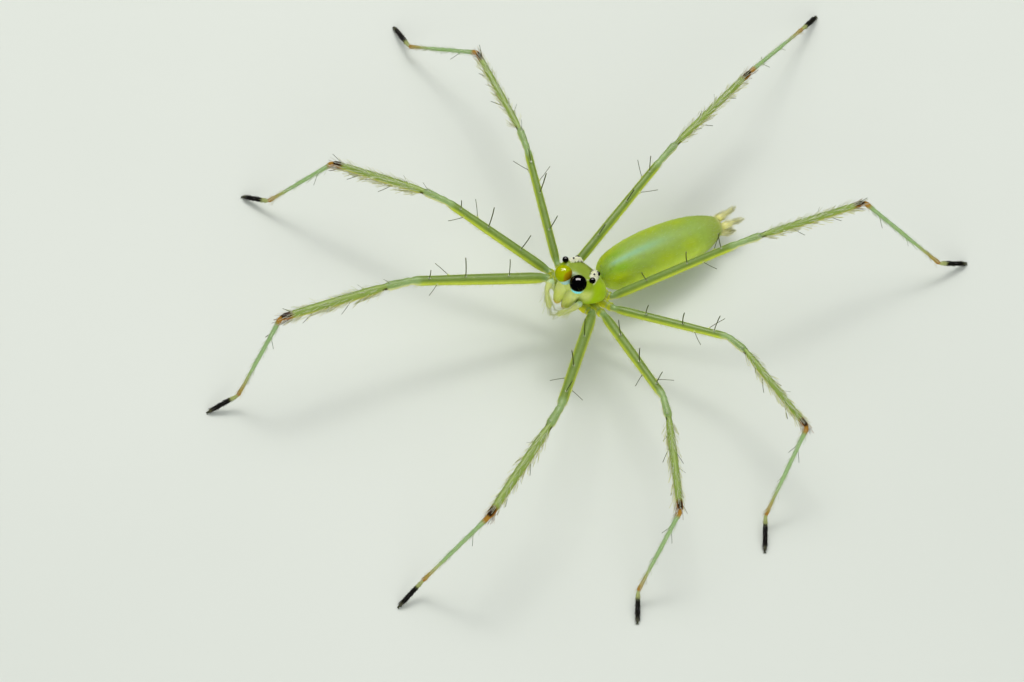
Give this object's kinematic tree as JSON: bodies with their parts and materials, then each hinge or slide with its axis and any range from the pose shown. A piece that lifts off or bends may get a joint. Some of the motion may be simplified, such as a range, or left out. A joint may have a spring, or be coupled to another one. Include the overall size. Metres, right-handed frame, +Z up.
{
  "type": "jumping spider",
  "caption": "Pale green female tailed jumping spider standing with long, thin, spined legs spread, a high head with large eyes and a long oval abdomen",
  "frame": {"origin": "the middle of the footprint, on the floor the feet stand on", "axes": "the spider faces -Y, its left side is +X, and +Z is up"},
  "size_m": [0.0148, 0.018, 0.0032],
  "materials": {
    "carapace": "glossy translucent yellow-green skin",
    "main_eye_dark": "glass-smooth black eye",
    "main_eye_green": "glass-smooth olive-green eye",
    "small_eye": "glass-smooth black eye",
    "jaw": "pale cream satin",
    "palp": "pale cream, softly hairy",
    "waist": "satin green",
    "abdomen": "glossy translucent yellow-green skin",
    "spinneret": "pale cream satin",
    "hip": "glassy pale green",
    "thigh": "glassy pale green",
    "shin": "glassy pale green",
    "ankle": "pale straw satin",
    "foot": "black, softly hairy"
  },
  "bodies": {
    "root": {"abdomen": "abdomen", "carapace": "carapace", "eye_main_left": "main_eye_dark", "eye_main_right": "main_eye_green", "eye_rear_left": "small_eye", "eye_rear_right": "small_eye", "eye_side_left": "small_eye", "eye_side_right": "small_eye", "eye_tiny_left": "small_eye", "eye_tiny_right": "small_eye", "jaw_left": "jaw", "jaw_right": "jaw", "leg_left_1_ankle": "ankle", "leg_left_1_foot": "foot", "leg_left_1_hip": "hip", "leg_left_1_shin": "shin", "leg_left_1_thigh": "thigh", "leg_left_2_ankle": "ankle", "leg_left_2_foot": "foot", "leg_left_2_hip": "hip", "leg_left_2_shin": "shin", "leg_left_2_thigh": "thigh", "leg_left_3_ankle": "ankle", "leg_left_3_foot": "foot", "leg_left_3_hip": "hip", "leg_left_3_shin": "shin", "leg_left_3_thigh": "thigh", "leg_left_4_ankle": "ankle", "leg_left_4_foot": "foot", "leg_left_4_hip": "hip", "leg_left_4_shin": "shin", "leg_left_4_thigh": "thigh", "leg_right_1_ankle": "ankle", "leg_right_1_foot": "foot", "leg_right_1_hip": "hip", "leg_right_1_shin": "shin", "leg_right_1_thigh": "thigh", "leg_right_2_ankle": "ankle", "leg_right_2_foot": "foot", "leg_right_2_hip": "hip", "leg_right_2_shin": "shin", "leg_right_2_thigh": "thigh", "leg_right_3_ankle": "ankle", "leg_right_3_foot": "foot", "leg_right_3_hip": "hip", "leg_right_3_shin": "shin", "leg_right_3_thigh": "thigh", "leg_right_4_ankle": "ankle", "leg_right_4_foot": "foot", "leg_right_4_hip": "hip", "leg_right_4_shin": "shin", "leg_right_4_thigh": "thigh", "palp_left": "palp", "palp_right": "palp", "spinneret_long_left": "spinneret", "spinneret_long_right": "spinneret", "spinneret_short_left": "spinneret", "spinneret_short_right": "spinneret", "waist": "waist"}
  },
  "joints": []
}
